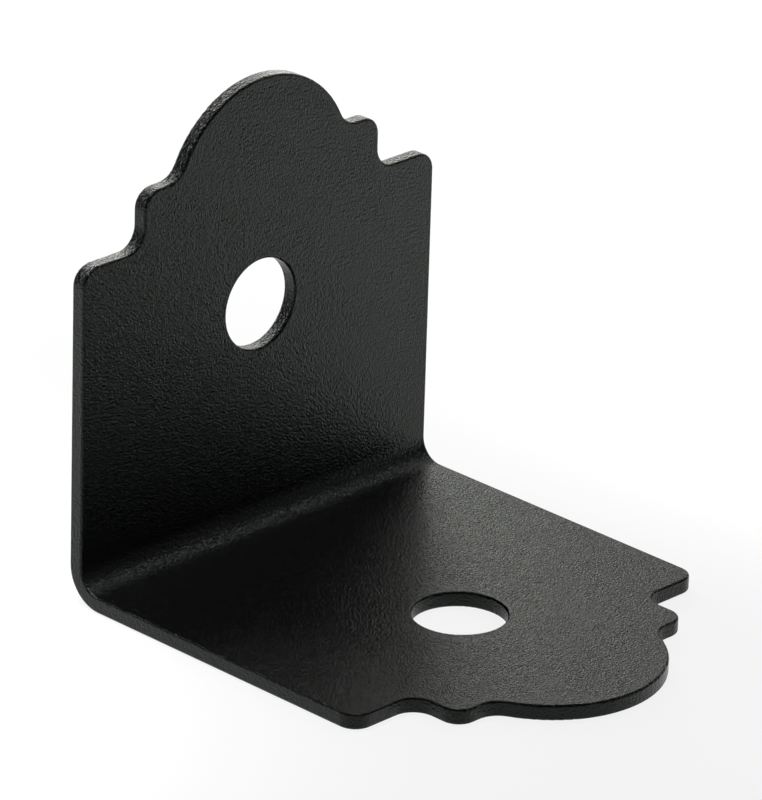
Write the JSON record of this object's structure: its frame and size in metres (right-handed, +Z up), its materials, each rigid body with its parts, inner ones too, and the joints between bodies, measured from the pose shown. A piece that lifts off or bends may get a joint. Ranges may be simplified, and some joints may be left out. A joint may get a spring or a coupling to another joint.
{
  "type": "corner brace bracket",
  "caption": "Sheet steel corner brace folded to a right angle, each leg with a stepped and domed end and a plain round hole for a fastener.",
  "frame": {"origin": "mid width of the outer corner line, where the plane of the upright leg's back meets the plane of the flat leg's underside", "axes": "+Z up along the upright leg, +Y out of the upright leg's back, so the flat leg reaches along -Y, and X along the fold across the width"},
  "size_m": [0.0762, 0.0847, 0.0782],
  "materials": {
    "powder_coat": "satin black powder coat with a fine orange-peel grain over folded steel sheet"
  },
  "bodies": {
    "root": {"bracket": "powder_coat"}
  },
  "joints": []
}
